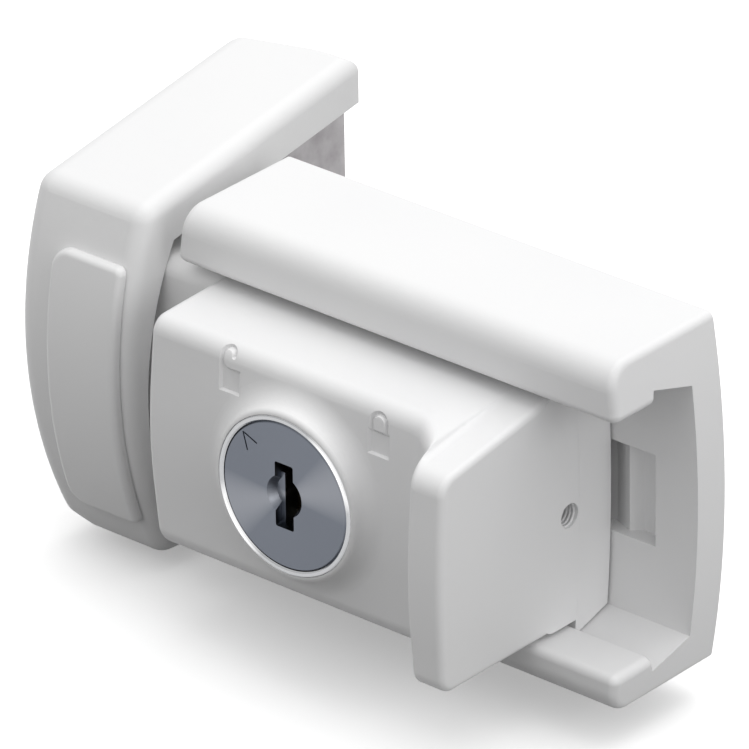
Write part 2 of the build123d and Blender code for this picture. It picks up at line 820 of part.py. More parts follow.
def keeper_hood():
    """White hood: two arms, a bowed front wall and a closed left side."""
    hood = keeper_body()
    right_rim = hood.edges().filter_by(
        lambda e: abs(e.center().X - keeper_right) < edge_slack
        and e.center().Y < keeper_back - edge_slack)
    hood = fillet(right_rim, keeper_rim_round) & along_x(keeper_heel(), -far, far)
    hood -= along_x(keeper_inner(), keeper_left + keeper_side_wall, keeper_right)
    for z in keeper_hole_heights():
        hood -= rod_y(block_x, z, access_hole_diameter, -far, wall_face)
    for sign in (1, -1):
        hood -= hood_screw_bore(sign, hood_screw_face(sign))
    return hood


def keeper_hole_heights():
    """Heights of the two frame screws."""
    return (axis_z - keeper_hole_spacing / 2, axis_z + keeper_hole_spacing / 2)


def hood_screw_face(sign):
    """Height of the hood's inner face where a hood screw goes in."""
    if sign > 0:
        return keeper_top_at(hood_screw_y, keeper_top_wall)
    return keeper_bottom_at(hood_screw_y, keeper_bottom_wall)


def hood_screw_bore(sign, z):
    """Blind hole in an arm of the hood for its screw."""
    depth = hood_screw_length - block_wall
    low, high = sorted((z - sign * block_wall * 2, z + sign * depth))
    middle = Pos(block_x, hood_screw_y, (low + high) / 2)
    return middle * Cylinder(hood_screw_diameter / 2, high - low)


def keeper_base():
    """Base block: a cast box, open towards the frame, with two screw posts."""
    left = keeper_left + keeper_side_wall + seat_gap
    right = keeper_right - block_right_recess
    room = along_x(keeper_inner(), left, right)
    box = room & block(left, right, wall_face, keeper_back, -far, far)
    hollow = block(left + block_wall, right - block_wall, wall_face + block_front_wall,
                   keeper_back, hood_screw_face(-1) + block_wall, hood_screw_face(1) - block_wall)
    box -= hollow
    for z in keeper_hole_heights():
        box += rod_y(block_x, z, keeper_post_diameter, wall_face, keeper_back)
        box -= countersink(block_x, z, screw_hole_diameter, screw_head_diameter,
                           wall_face, keeper_back)
    for sign in (1, -1):
        z = hood_screw_face(sign)
        box -= Pos(block_x, hood_screw_y, z) * Cylinder(
            hood_screw_diameter / 2 + seat_gap, 3 * block_wall)
    return box


def keeper_hood_screws():
    """Two screws from inside the block into the arms of the hood."""
    screws = []
    for sign in (1, -1):
        seat = hood_screw_face(sign) - sign * block_wall
        shank = Cylinder(hood_screw_diameter / 2, hood_screw_length,
                         align=(Align.CENTER, Align.CENTER, Align.MIN))
        head = Cylinder(hood_screw_head / 2, hood_screw_head_height,
                        align=(Align.CENTER, Align.CENTER, Align.MAX))
        slot = Pos(0, 0, -hood_screw_head_height) * Box(
            hood_screw_head, screw_slot_width, hood_screw_head_height)
        turn = Rot(0, 0, 0) if sign > 0 else Rot(180, 0, 0)
        screws.append(Pos(block_x, hood_screw_y, seat) * turn * (shank + head - slot))
    return Compound(children=screws)


def keeper_screw_cover():
    """Snap-on panel over the frame screws, raised on the bowed front."""
    left = keeper_left + cover_margin_left
    right = keeper_right - cover_margin_right
    skin = along_x(keeper_outer(cover_thickness), left, right)
    skin -= along_x(keeper_outer(), left, right)
    corners = [(left, cover_bottom), (right, cover_bottom), (right, cover_top), (left, cover_top)]
    window = outline(corners, [cover_corner, cover_inner_corner, cover_inner_corner, cover_corner])
    panel = skin & along_y(window, -far, wall_face)
    panel = fillet(panel.faces().sort_by(Axis.Y)[0].edges(), cover_edge_round)
    for z in keeper_hole_heights():
        peg = rod_y(block_x, z, access_hole_diameter - 2 * seat_gap, -far, wall_face)
        rim = along_x(keeper_outer(), left, right)
        rim -= along_x(keeper_outer(-cover_peg_length), left, right)
        panel += peg & rim
    return panel


PIECES = {
    "base_housing": base_housing,
    "slide_plate": slide_plate,
    "plate_screws": plate_screws,
    "slider_body": slider_body,
    "cylinder_shell": cylinder_shell,
    "cylinder_collar": cylinder_collar,
    "cylinder_plug": cylinder_plug,
    "wafers": wafers,
    "wafer_springs": wafer_springs,
    "retaining_clip": retaining_clip,
    "drive_cam": drive_cam,
    "lock_bolt": lock_bolt,
    "stop_pin": stop_pin,
    "detent_ball": detent_ball,
    "detent_spring": detent_spring,
    "index_ball": index_ball,
    "index_spring": index_spring,
    "grub_screw": grub_screw,
    "keeper_base": keeper_base,
    "keeper_hood": keeper_hood,
    "keeper_screw_cover": keeper_screw_cover,
    "keeper_hood_screws": keeper_hood_screws,
}

os.makedirs("parts", exist_ok=True)
for name, make in PIECES.items():
    export_step(make(), f"parts/{name}.step")
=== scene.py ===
"""Dresses a surface-mounted window lock for its portrait.

The lock has a white housing on the sash, a slide with a key cylinder in it and a keeper on the frame.
Metres throughout. X runs along the slide towards its grip, Y into the window and Z up. The origin is the
middle of the housing's face on the sash.
"""
import json
import logging
import math
from dataclasses import dataclass, field
from enum import Enum
from typing import Callable, Iterable, Sequence

import bmesh
import bpy
from mathutils import Matrix, Vector
from mathutils.bvhtree import BVHTree
from mathutils.interpolate import poly_3d_calc


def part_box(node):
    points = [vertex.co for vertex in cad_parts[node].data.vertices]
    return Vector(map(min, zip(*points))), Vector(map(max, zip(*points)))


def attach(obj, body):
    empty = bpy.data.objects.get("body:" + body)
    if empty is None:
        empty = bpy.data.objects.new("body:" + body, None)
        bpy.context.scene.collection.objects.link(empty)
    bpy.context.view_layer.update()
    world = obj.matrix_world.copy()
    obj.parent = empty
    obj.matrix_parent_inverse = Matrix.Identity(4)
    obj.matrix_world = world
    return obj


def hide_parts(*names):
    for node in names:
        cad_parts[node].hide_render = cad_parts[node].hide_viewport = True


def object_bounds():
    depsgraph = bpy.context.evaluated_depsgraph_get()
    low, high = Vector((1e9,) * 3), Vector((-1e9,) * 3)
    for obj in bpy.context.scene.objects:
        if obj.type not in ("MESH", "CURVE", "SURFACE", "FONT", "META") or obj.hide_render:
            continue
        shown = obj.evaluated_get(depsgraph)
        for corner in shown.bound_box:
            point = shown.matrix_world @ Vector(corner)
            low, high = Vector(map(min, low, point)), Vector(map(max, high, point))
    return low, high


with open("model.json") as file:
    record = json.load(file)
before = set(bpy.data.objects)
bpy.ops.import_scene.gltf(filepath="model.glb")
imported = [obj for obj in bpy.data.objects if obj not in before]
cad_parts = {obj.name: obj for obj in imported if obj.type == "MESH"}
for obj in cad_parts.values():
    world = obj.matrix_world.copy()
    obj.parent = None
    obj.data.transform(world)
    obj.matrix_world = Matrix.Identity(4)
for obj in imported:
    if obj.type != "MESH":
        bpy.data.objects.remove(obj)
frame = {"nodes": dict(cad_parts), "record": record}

CAD_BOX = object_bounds()
MM = 0.001
MICRON = 0.000001
# The farthest apart that two corners of a CAD mesh can be and still be one.
WELD_GAP = 0.002 * MM
# A Y in front of every piece, where rays that look for the case begin.
FAR_IN_FRONT = -1.0
# Rays for each rounded-looking edge, which is enough for edges this small.
EDGE_SAMPLES = 6

Socket = bpy.types.NodeSocket
Point = tuple[float, float]

logging.basicConfig(level=logging.INFO, format="%(message)s")
log = logging.getLogger("window_lock")


class Tone(Enum):
    """Plain colours of the lock's finishes, as linear red, green and blue."""

    COAT = (0.80, 0.80, 0.80)
    COAT_SHADE = (0.775, 0.775, 0.78)
    COVER = (0.785, 0.785, 0.785)
    ZINC_LIGHT = (0.49, 0.475, 0.485)
    ZINC_DARK = (0.34, 0.325, 0.335)
    NICKEL = (0.135, 0.147, 0.172)
    # Painted highlight: the lighter tone that the plug's face gets in two wedges of its colour.
    NICKEL_PAINTED_SHEEN = (0.222, 0.232, 0.256)
    CHROME = (0.42, 0.425, 0.435)
    # Painted highlight: the near-white tone that the rim gets as glints in its colour.
    CHROME_PAINTED_GLINT = (0.95, 0.95, 0.95)
    # Painted shade: both brass tones are far darker than brass, so that the wafers deep in the keyway look as
    # dark as its shade.
    BRASS_IN_PAINTED_SHADE = (0.34, 0.28, 0.18)
    BRASS_DARK_IN_PAINTED_SHADE = (0.16, 0.13, 0.08)
    STEEL = (0.52, 0.53, 0.54)
    STEEL_DARK = (0.33, 0.34, 0.35)
    OXIDE = (0.025, 0.025, 0.028)
    PAPER = (0.90, 0.90, 0.90)
    STUDIO_GREY = (0.13, 0.13, 0.13)


class Pull(Enum):
    """The two ways a padlock sign can stand."""

    OPEN = "open"
    CLOSED = "closed"


class Canvas:
    """A new material with short calls that add nodes and join them to its shader."""

    def __init__(self, name: str) -> None:
        """Starts the material.

        Args:
            name: what the material is called.
        """
        self.material = bpy.data.materials.new(name)
        self.material.use_nodes = True
        self.tree = self.material.node_tree
        self.shader = self.tree.nodes["Principled BSDF"]

    def add(self, kind: str, **settings: object) -> bpy.types.Node:
        """Adds a node.

        Args:
            kind: the node's type, without the word ShaderNode.
            settings: attributes of the node.

        Returns:
            The new node.
        """
        node = self.tree.nodes.new("ShaderNode" + kind)
        for name, value in settings.items():
            setattr(node, name, value)
        return node

    def join(self, source: Socket, target: Socket) -> None:
        """Links an output to an input."""
        self.tree.links.new(source, target)

    def set(self, **values: object) -> None:
        """Gives the shader constant values.

        Args:
            values: socket names with underscores for spaces, and their values.
        """
        for name, value in values.items():
            self.shader.inputs[name.replace("_", " ")].default_value = value

    def place(self) -> Socket:
        """Returns the point being shaded, in metres of the lock's own frame."""
        return self.add("TexCoord").outputs["Object"]

    def noise(self, scale: float, detail: float, stretch: Sequence[float] = (1, 1, 1)) -> Socket:
        """Adds a noise over the point being shaded.

        Args:
            scale: waves in a metre.
            detail: octaves.
            stretch: how much closer the waves are along X, Y and Z.

        Returns:
            The noise's value, about 0.5 in the mean.
        """
        mapping = self.add("Mapping")
        mapping.inputs["Scale"].default_value = stretch
        noise = self.add("TexNoise")
        noise.inputs["Scale"].default_value = scale
        noise.inputs["Detail"].default_value = detail
        self.join(self.place(), mapping.inputs["Vector"])
        self.join(mapping.outputs["Vector"], noise.inputs["Vector"])
        return noise.outputs["Fac"]

    def blend(self, factor: Socket, first: Tone, second: Tone,
              low: float = 0.3, high: float = 0.7) -> None:
        """Colours the shader between two tones.

        Args:
            factor: the value that chooses between them.
            first: the tone at low values.
            second: the tone at high values.
            low: the value where the first tone ends.
            high: the value where the second tone begins.
        """
        ramp = self.add("ValToRGB")
        ramp.color_ramp.elements[0].position = low
        ramp.color_ramp.elements[1].position = high
        ramp.color_ramp.elements[0].color = (*first.value, 1)
        ramp.color_ramp.elements[1].color = (*second.value, 1)
        self.join(factor, ramp.inputs["Fac"])
        self.join(ramp.outputs["Color"], self.shader.inputs["Base Color"])

    def span(self, value: Socket, low: float, high: float, name: str) -> None:
        """Spreads a 0 to 1 value over a range and joins it to a shader input.

        Args:
            value: the value.
            low: what 0 becomes.
            high: what 1 becomes.
            name: the shader's input.
        """
        spread = self.add("MapRange")
        spread.inputs["To Min"].default_value = low
        spread.inputs["To Max"].default_value = high
        self.join(value, spread.inputs["Value"])
        self.join(spread.outputs["Result"], self.shader.inputs[name])

    def relief(self, heights: Iterable[tuple[Socket, float]], edge: float = 0.0) -> None:
        """Adds small relief to the shader's normal.

        Args:
            heights: pairs of a 0 to 1 height and what it stands for in metres.
            edge: radius in metres to which sharp edges look rounded, or 0.
        """
        normal = None
        if edge:
            bevel = self.add("Bevel", samples=EDGE_SAMPLES)
            bevel.inputs["Radius"].default_value = edge
            normal = bevel.outputs["Normal"]
        for height, distance in heights:
            bump = self.add("Bump")
            bump.inputs["Distance"].default_value = distance
            self.join(height, bump.inputs["Height"])
            if normal:
                self.join(normal, bump.inputs["Normal"])
            normal = bump.outputs["Normal"]
        self.join(normal, self.shader.inputs["Normal"])


@dataclass(frozen=True)
class PowderCoat:
    """Baked white powder coat with a faint orange peel.

    Waves are counted in a metre. Heights and the rounding of sharp edges are in metres.
    """

    name: str = "white_powder_coat"
    roughness: float = 0.46
    specular: float = 0.45
    shade_waves: float = 28.0
    shade_detail: float = 2.0
    peel_waves: float = 620.0
    peel_detail: float = 1.5
    peel_height: float = 28 * MICRON
    grain_waves: float = 3800.0
    grain_detail: float = 2.0
    grain_height: float = 4 * MICRON
    edge: float = 0.08 * MM

    def material(self) -> bpy.types.Material:
        """Returns the finish's material."""
        canvas = Canvas(self.name)
        canvas.blend(canvas.noise(self.shade_waves, self.shade_detail), Tone.COAT, Tone.COAT_SHADE)
        canvas.set(Roughness=self.roughness, Specular_IOR_Level=self.specular)
        peel = canvas.noise(self.peel_waves, self.peel_detail)
        grain = canvas.noise(self.grain_waves, self.grain_detail)
        canvas.relief([(peel, self.peel_height), (grain, self.grain_height)], self.edge)
        return canvas.material


@dataclass(frozen=True)
class MouldedCover:
    """Satin white plastic of the clipped screw cover."""

    name: str = "white_satin_plastic"
    roughness: float = 0.38
    specular: float = 0.5
    shade_waves: float = 35.0
    shade_detail: float = 2.0
    grain_waves: float = 2600.0
    grain_detail: float = 2.0
    grain_height: float = 5 * MICRON
    edge: float = 0.18 * MM

    def material(self) -> bpy.types.Material:
        """Returns the finish's material."""
        canvas = Canvas(self.name)
        canvas.blend(canvas.noise(self.shade_waves, self.shade_detail), Tone.COVER, Tone.COAT_SHADE)
        canvas.set(Roughness=self.roughness, Specular_IOR_Level=self.specular)
        grain = canvas.noise(self.grain_waves, self.grain_detail)
        canvas.relief([(grain, self.grain_height)], self.edge)
        return canvas.material


@dataclass(frozen=True)
class DieCastZinc:
    """Bare zinc die casting with a mottled skin."""

    name: str = "bare_zinc_casting"
    metallic: float = 0.55
    specular: float = 0.4
    smoothest: float = 0.54
    roughest: float = 0.68
    mottle_waves: float = 330.0
    mottle_detail: float = 5.0
    stain_detail: float = 2.0
    pit_waves: float = 1500.0
    pit_detail: float = 3.0
    pit_height: float = 60 * MICRON

    def material(self) -> bpy.types.Material:
        """Returns the finish's material."""
        canvas = Canvas(self.name)
        mottle = canvas.noise(self.mottle_waves, self.mottle_detail)
        canvas.blend(mottle, Tone.ZINC_DARK, Tone.ZINC_LIGHT)
        canvas.set(Metallic=self.metallic, Specular_IOR_Level=self.specular)
        stain = canvas.noise(self.pit_waves, self.stain_detail)
        canvas.span(stain, self.smoothest, self.roughest, "Roughness")
        canvas.relief([(canvas.noise(self.pit_waves, self.pit_detail), self.pit_height)])
        return canvas.material


@dataclass(frozen=True)
class TurnedFace:
    """Plated metal with a lathe's fine rings round an axis along Y, and a painted highlight laid across them
    in the colour.

    Args:
        name: what the material is called.
        tone: its colour away from the sheen.
        painted_sheen: its colour in the painted highlight.
        axis: X and Z of the axis, in metres.
        painted_sheen_way: X and Z of the unit direction in which the painted highlight lies.
        painted_sheen_edge: cosine at the painted highlight's edge.
        roughness: its roughness in the mean.
        roughness_swing: how far the rings change the roughness up and down.
        ring_waves: rings in a metre.
        ring_height: their height in metres.
        anisotropy: how much the rings draw out a reflection.
    """

    name: str
    tone: Tone
    painted_sheen: Tone
    axis: Point
    painted_sheen_way: Point
    painted_sheen_edge: float
    roughness: float = 0.34
    roughness_swing: float = 0.05
    ring_waves: float = 5200.0
    ring_height: float = 1.2 * MICRON
    anisotropy: float = 0.62

    def material(self) -> bpy.types.Material:
        """Returns the finish's material."""
        canvas = Canvas(self.name)
        canvas.set(Metallic=1.0, Anisotropic=self.anisotropy)
        radius = self.radius(canvas)
        self.turn_rings(canvas, radius)
        self.paint_sheen_wedges(canvas, radius)
        return canvas.material

    def radius(self, canvas: Canvas) -> Socket:
        """Adds the way out from the axis to the point being shaded.

        Args:
            canvas: the material.

        Returns:
            That way, as a vector at right angles to the axis.
        """
        centred = canvas.add("Mapping")
        centred.inputs["Location"].default_value = (-self.axis[0], 0, -self.axis[1])
        flat = canvas.add("VectorMath", operation="MULTIPLY")
        flat.inputs[1].default_value = (1, 0, 1)
        canvas.join(canvas.place(), centred.inputs["Vector"])
        canvas.join(centred.outputs["Vector"], flat.inputs[0])
        return flat.outputs["Vector"]

    def turn_rings(self, canvas: Canvas, radius: Socket) -> None:
        """Lays the rings into the tangent, the roughness and the relief.

        Args:
            canvas: the material.
            radius: the way out from the axis.
        """
        around = canvas.add("VectorMath", operation="CROSS_PRODUCT")
        around.inputs[1].default_value = (0, 1, 0)
        length = canvas.add("VectorMath", operation="LENGTH")
        rings = canvas.add("TexNoise", noise_dimensions="1D")
        rings.inputs["Scale"].default_value = self.ring_waves
        canvas.join(radius, around.inputs[0])
        canvas.join(around.outputs["Vector"], canvas.shader.inputs["Tangent"])
        canvas.join(radius, length.inputs[0])
        canvas.join(length.outputs["Value"], rings.inputs["W"])
        smoothest = self.roughness - self.roughness_swing
        roughest = self.roughness + self.roughness_swing
        canvas.span(rings.outputs["Fac"], smoothest, roughest, "Roughness")
        canvas.relief([(rings.outputs["Fac"], self.ring_height)])

    def paint_sheen_wedges(self, canvas: Canvas, radius: Socket) -> None:
        """Paints a highlight into the colour as two wedges, which meet at the axis.

        Args:
            canvas: the material.
            radius: the way out from the axis.
        """
        unit = canvas.add("VectorMath", operation="NORMALIZE")
        facing = canvas.add("VectorMath", operation="DOT_PRODUCT")
        facing.inputs[1].default_value = (self.painted_sheen_way[0], 0, self.painted_sheen_way[1])
        nearness = canvas.add("Math", operation="ABSOLUTE")
        canvas.join(radius, unit.inputs[0])
        canvas.join(unit.outputs["Vector"], facing.inputs[0])
        canvas.join(facing.outputs["Value"], nearness.inputs[0])
        # Painted highlight: the wedges facing painted_sheen_way get the lighter tone in the colour itself, so
        # they turn with the plug.
        canvas.blend(nearness.outputs["Value"], self.tone, self.painted_sheen, self.painted_sheen_edge, 1.0)


@dataclass(frozen=True)
class MachinedMetal:
    """Milled, stamped or drawn metal with a fine directional grain.

    Args:
        name: what the material is called.
        light: its colour on the crests of the grain.
        dark: its colour in the valleys.
        roughness: its middle roughness.
        rougher: how much the valleys add to it.
        smoother: how much the crests take from it.
        dark_below: the grain's value where the dark colour ends.
        light_above: the grain's value where the light colour begins.
        grain_waves: waves in a metre.
        grain_detail: octaves.
        grain_height: the grain's height in metres.
        stretch: how much closer the waves are along X, Y and Z.
    """

    name: str
    light: Tone
    dark: Tone
    roughness: float = 0.32
    rougher: float = 0.1
    smoother: float = 0.06
    dark_below: float = 0.25
    light_above: float = 0.6
    grain_waves: float = 900.0
    grain_detail: float = 4.0
    grain_height: float = 6 * MICRON
    stretch: tuple[float, float, float] = (0.15, 1.0, 1.0)

    def material(self) -> bpy.types.Material:
        """Returns the finish's material."""
        canvas = Canvas(self.name)
        grain = canvas.noise(self.grain_waves, self.grain_detail, self.stretch)
        canvas.blend(grain, self.dark, self.light, self.dark_below, self.light_above)
        canvas.set(Metallic=1.0)
        canvas.span(grain, self.roughness + self.rougher, self.roughness - self.smoother, "Roughness")
        canvas.relief([(grain, self.grain_height)])
        return canvas.material


@dataclass(frozen=True)
class BlackOxide:
    """Blackened steel of the small socket screw."""

    name: str = "black_oxide_steel"
    metallic: float = 0.8
    roughness: float = 0.42
    worn_above: float = 0.45
    bare_above: float = 0.95
    grain_waves: float = 2400.0
    grain_detail: float = 3.0
    grain_height: float = 4 * MICRON

    def material(self) -> bpy.types.Material:
        """Returns the finish's material."""
        canvas = Canvas(self.name)
        grain = canvas.noise(self.grain_waves, self.grain_detail)
        canvas.blend(grain, Tone.OXIDE, Tone.STEEL_DARK, self.worn_above, self.bare_above)
        canvas.set(Metallic=self.metallic, Roughness=self.roughness)
        canvas.relief([(grain, self.grain_height)])
        return canvas.material


@dataclass
class Palette:
    """The finishes of the lock, each made once.

    Args:
        axis: X and Z of the key cylinder's axis, in metres.
        made: the finished materials, by the record's names for them.
    """

    axis: Point
    made: dict[str, bpy.types.Material] = field(default_factory=dict)

    def __post_init__(self) -> None:
        """Makes each material under the record's name for it."""
        # The plug face and the rim each carry a highlight painted into their colour: wedges on the plug,
        # glints on the rim.
        plug_face = TurnedFace("turned_nickel", Tone.NICKEL, Tone.NICKEL_PAINTED_SHEEN, self.axis,
                               painted_sheen_way=(0.92, 0.39), painted_sheen_edge=0.88)
        rim = TurnedFace("bright_chrome_ring", Tone.CHROME, Tone.CHROME_PAINTED_GLINT, self.axis,
                         painted_sheen_way=(0.80, 0.60), painted_sheen_edge=0.86, roughness=0.14, ring_waves=3000.0,
                         ring_height=0.4 * MICRON, anisotropy=0.2)
        finishes = {
            "powder_coat": PowderCoat(),
            "white_plastic": MouldedCover(),
            "cast_zinc": DieCastZinc(),
            "nickel_plate": plug_face,
            "bright_chrome": rim,
            # The brass is darkened as painted shade for the wafers inside the keyway.
            "brass": MachinedMetal("machined_brass", Tone.BRASS_IN_PAINTED_SHADE, Tone.BRASS_DARK_IN_PAINTED_SHADE),
            "zinc_steel": MachinedMetal("zinc_plated_steel", Tone.STEEL, Tone.STEEL_DARK, 0.28),
            "black_steel": BlackOxide(),
        }
        self.made = {slot: finish.material() for slot, finish in finishes.items()}

    def dress(self, piece: bpy.types.Object, slot: str) -> None:
        """Gives a piece one of the finishes.

        Args:
            piece: the piece, or a CAD node's object.
            slot: the record's name for the finish.
        """
        piece.data.materials.clear()
        piece.data.materials.append(self.made[slot])


def seen_rays(tree: bpy.types.NodeTree) -> Socket:
    """Adds a test for the rays that show what is around the lock, straight, in metal or through glass.

    Args:
        tree: the nodes of a material or of the world.

    Returns:
        1 for those rays, and 0 for the rays that only carry light.
    """
    path = tree.nodes.new("ShaderNodeLightPath")
    most = path.outputs["Is Camera Ray"]
    for name in ("Is Glossy Ray", "Is Transmission Ray"):
        larger = tree.nodes.new("ShaderNodeMath")
        larger.operation = "MAXIMUM"
        tree.links.new(most, larger.inputs[0])
        tree.links.new(path.outputs[name], larger.inputs[1])
        most = larger.outputs["Value"]
    return most


def middle(node: str) -> Vector:
    """Returns the middle of a CAD node's box."""
    low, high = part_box(node)
    return (low + high) / 2


def link(name: str, mesh: bpy.types.Mesh) -> bpy.types.Object:
    """Puts a mesh in the scene.

    Args:
        name: what the object is called.
        mesh: its mesh, already in place.

    Returns:
        The object, at the origin.
    """
    piece = bpy.data.objects.new(name, mesh)
    bpy.context.scene.collection.objects.link(piece)
    return piece


def baked(piece: bpy.types.Object, name: str) -> bpy.types.Mesh:
    """Makes a plain mesh of what a piece is with its modifiers.

    Args:
        piece: the piece.
        name: what the mesh is called.

    Returns:
        The mesh.
    """
    graph = bpy.context.evaluated_depsgraph_get()
    mesh = bpy.data.meshes.new_from_object(piece.evaluated_get(graph), depsgraph=graph)
    mesh.name = name
    return mesh


def prism(loops: Sequence[Sequence[Vector]], run: Vector) -> bpy.types.Mesh:
    """Makes a closed prism from flat loops.

    Args:
        loops: closed loops in one plane; a loop inside another is a hole.
        run: how far and which way the prism goes.

    Returns:
        The prism's mesh, with normals outward.
    """
    shape = bmesh.new()
    edges = []
    for loop in loops:
        corners = [shape.verts.new(point) for point in loop]
        edges += [shape.edges.new(pair) for pair in zip(corners, corners[1:] + corners[:1])]
    faces = [f for f in bmesh.ops.triangle_fill(shape, edges=edges, use_beauty=True)["geom"]
             if isinstance(f, bmesh.types.BMFace)]
    ends = bmesh.ops.extrude_face_region(shape, geom=faces)["geom"]
    bmesh.ops.translate(shape, vec=run, verts=[v for v in ends if isinstance(v, bmesh.types.BMVert)])
    bmesh.ops.recalc_face_normals(shape, faces=shape.faces)
    mesh = bpy.data.meshes.new("prism")
    shape.to_mesh(mesh)
    shape.free()
    return mesh


def merged_copy(node: str, name: str) -> bpy.types.Object:
    """Copies a CAD node with its loose triangles joined.

    Args:
        node: the CAD node.
        name: the copy's name.

    Returns:
        The copy, closed and ready to be cut.
    """
    shape = bmesh.new()
    shape.from_mesh(frame["nodes"][node].data)
    bmesh.ops.remove_doubles(shape, verts=shape.verts, dist=WELD_GAP)
    mesh = bpy.data.meshes.new(name)
    shape.to_mesh(mesh)
    shape.free()
    return link(name, mesh)


def cut(piece: bpy.types.Object, tools: Sequence[bpy.types.Object]) -> None:
    """Takes tools away from a piece and deletes the tools.

    Args:
        piece: the piece, which keeps its name.
        tools: closed shapes.
    """
    for tool in tools:
        carve = piece.modifiers.new("carve", "BOOLEAN")
        carve.operation = "DIFFERENCE"
        carve.solver = "EXACT"
        carve.object = tool
    old = piece.data
    new = baked(piece, piece.name)
    piece.modifiers.clear()
    piece.data = new
    bpy.data.meshes.remove(old)
    for tool in tools:
        bpy.data.objects.remove(tool)


def surface_of(mesh: bpy.types.Mesh) -> BVHTree:
    """Returns a mesh's surface, ready to be searched."""
    return BVHTree.FromPolygons([v.co for v in mesh.vertices], [tuple(f.vertices) for f in mesh.polygons])


def smooth(piece: bpy.types.Object, angle: float = 28.0) -> None:
    """Shades a piece smooth except at edges sharper than an angle in degrees."""
    piece.data.shade_smooth()
    piece.data.set_sharp_from_angle(angle=math.radians(angle))


def take_shading(piece: bpy.types.Object, node: str, lean: float = 30.0,
                 inward: float = 0.02, skin: float = 0.03 * MM) -> None:
    """Gives a cut copy of a CAD node the node's own shading where its surface is unchanged.

    Args:
        piece: the cut copy.
        node: the CAD node.
        lean: how far in degrees a face may lean from the node's surface and still be that surface.
        inward: share of the way to its face's middle that each corner is moved before it is looked up.
        skin: how far a face may lie from the node's surface and still be that surface.
    """
    source = frame["nodes"][node].data
    corners = [[source.vertices[v].co for v in face.vertices] for face in source.polygons]
    shades = [[source.corner_normals[i].vector.copy() for i in face.loop_indices]
              for face in source.polygons]
    surface = surface_of(source)
    limit = math.cos(math.radians(lean))
    mesh = piece.data
    mesh.shade_smooth()
    normals = [Vector((0, 0, 0))] * len(mesh.loops)
    for face in mesh.polygons:
        own = face.normal.copy()
        for index in face.loop_indices:
            corner = mesh.vertices[mesh.loops[index].vertex_index].co
            place, _, near, gap = surface.find_nearest(corner.lerp(face.center, inward))
            shade = own
            if gap < skin:
                weights = poly_3d_calc(corners[near], place)
                mixed = sum((w * n for w, n in zip(weights, shades[near])), Vector((0, 0, 0)))
                carried = mixed.normalized()
                if carried.dot(own) > limit:
                    shade = carried
            normals[index] = shade
    mesh.normals_split_custom_set(normals)


@dataclass
class Thread:
    """A helical thread, made by geometry nodes.

    Args:
        start: one end of the thread's axis.
        along: unit direction of the axis.
        length: how far the thread runs.
        radius: radius of the helix.
        pitch: distance between turns.
        ridge: half-height of the thread's section.
        steps: points in a turn.
        sides: sides of the thread's section.
    """

    start: Vector
    along: Vector
    length: float
    radius: float
    pitch: float
    ridge: float
    steps: int = 40
    sides: int = 6

    def nodes(self, finish: bpy.types.Material) -> bpy.types.NodeTree:
        """Builds the node tree.

        Args:
            finish: the material that the thread gets.

        Returns:
            A tree with named inputs for the thread's sizes.
        """
        tree = bpy.data.node_groups.new("helical_thread", "GeometryNodeTree")
        sizes = {"Length": self.length, "Radius": self.radius, "Pitch": self.pitch, "Ridge": self.ridge}
        tree.interface.new_socket("Geometry", in_out="OUTPUT", socket_type="NodeSocketGeometry")
        for name, value in sizes.items():
            size = tree.interface.new_socket(name, in_out="INPUT", socket_type="NodeSocketFloat")
            size.default_value = value
        steps = tree.interface.new_socket("Steps", in_out="INPUT", socket_type="NodeSocketInt")
        steps.default_value = self.steps
        source = tree.nodes.new("NodeGroupInput")
        result = tree.nodes.new("NodeGroupOutput")
        turns = tree.nodes.new("ShaderNodeMath")
        turns.operation = "DIVIDE"
        helix = tree.nodes.new("GeometryNodeCurveSpiral")
        section = tree.nodes.new("GeometryNodeCurvePrimitiveCircle")
        section.inputs["Resolution"].default_value = self.sides
        sweep = tree.nodes.new("GeometryNodeCurveToMesh")
        sweep.inputs["Fill Caps"].default_value = True
        realize = tree.nodes.new("GeometryNodeRealizeInstances")
        paint = tree.nodes.new("GeometryNodeSetMaterial")
        paint.inputs["Material"].default_value = finish
        for output, node, socket in (
            (source.outputs["Length"], turns, 0),
            (source.outputs["Pitch"], turns, 1),
            (turns.outputs["Value"], helix, "Rotations"),
            (source.outputs["Steps"], helix, "Resolution"),
            (source.outputs["Length"], helix, "Height"),
            (source.outputs["Radius"], helix, "Start Radius"),
            (source.outputs["Radius"], helix, "End Radius"),
            (source.outputs["Ridge"], section, "Radius"),
            (helix.outputs["Curve"], sweep, "Curve"),
            (section.outputs["Curve"], sweep, "Profile Curve"),
            (sweep.outputs["Mesh"], realize, "Geometry"),
            (realize.outputs["Geometry"], paint, "Geometry"),
            (paint.outputs["Geometry"], result, "Geometry"),
        ):
            tree.links.new(output, node.inputs[socket])
        return tree

    def mesh(self, finish: bpy.types.Material) -> bpy.types.Mesh:
        """Makes the thread in its place.

        Args:
            finish: the material that the thread gets.

        Returns:
            The thread's mesh.
        """
        carrier = link("thread_carrier", bpy.data.meshes.new("thread_carrier"))
        maker = carrier.modifiers.new("thread", "NODES")
        maker.node_group = self.nodes(finish)
        mesh = baked(carrier, "thread")
        bpy.data.objects.remove(carrier)
        turn = Vector((0, 0, 1)).rotation_difference(self.along).to_matrix().to_4x4()
        mesh.transform(Matrix.Translation(self.start) @ turn)
        return mesh


def front_of(piece: bpy.types.Object) -> Callable[[Vector, Vector], Vector]:
    """Makes a function that moves a point along a direction onto a piece's surface.

    Args:
        piece: the piece.

    Returns:
        A function of the point and the direction.
    """
    surface = surface_of(piece.data)
    return lambda point, way: surface.ray_cast(point, way)[0]


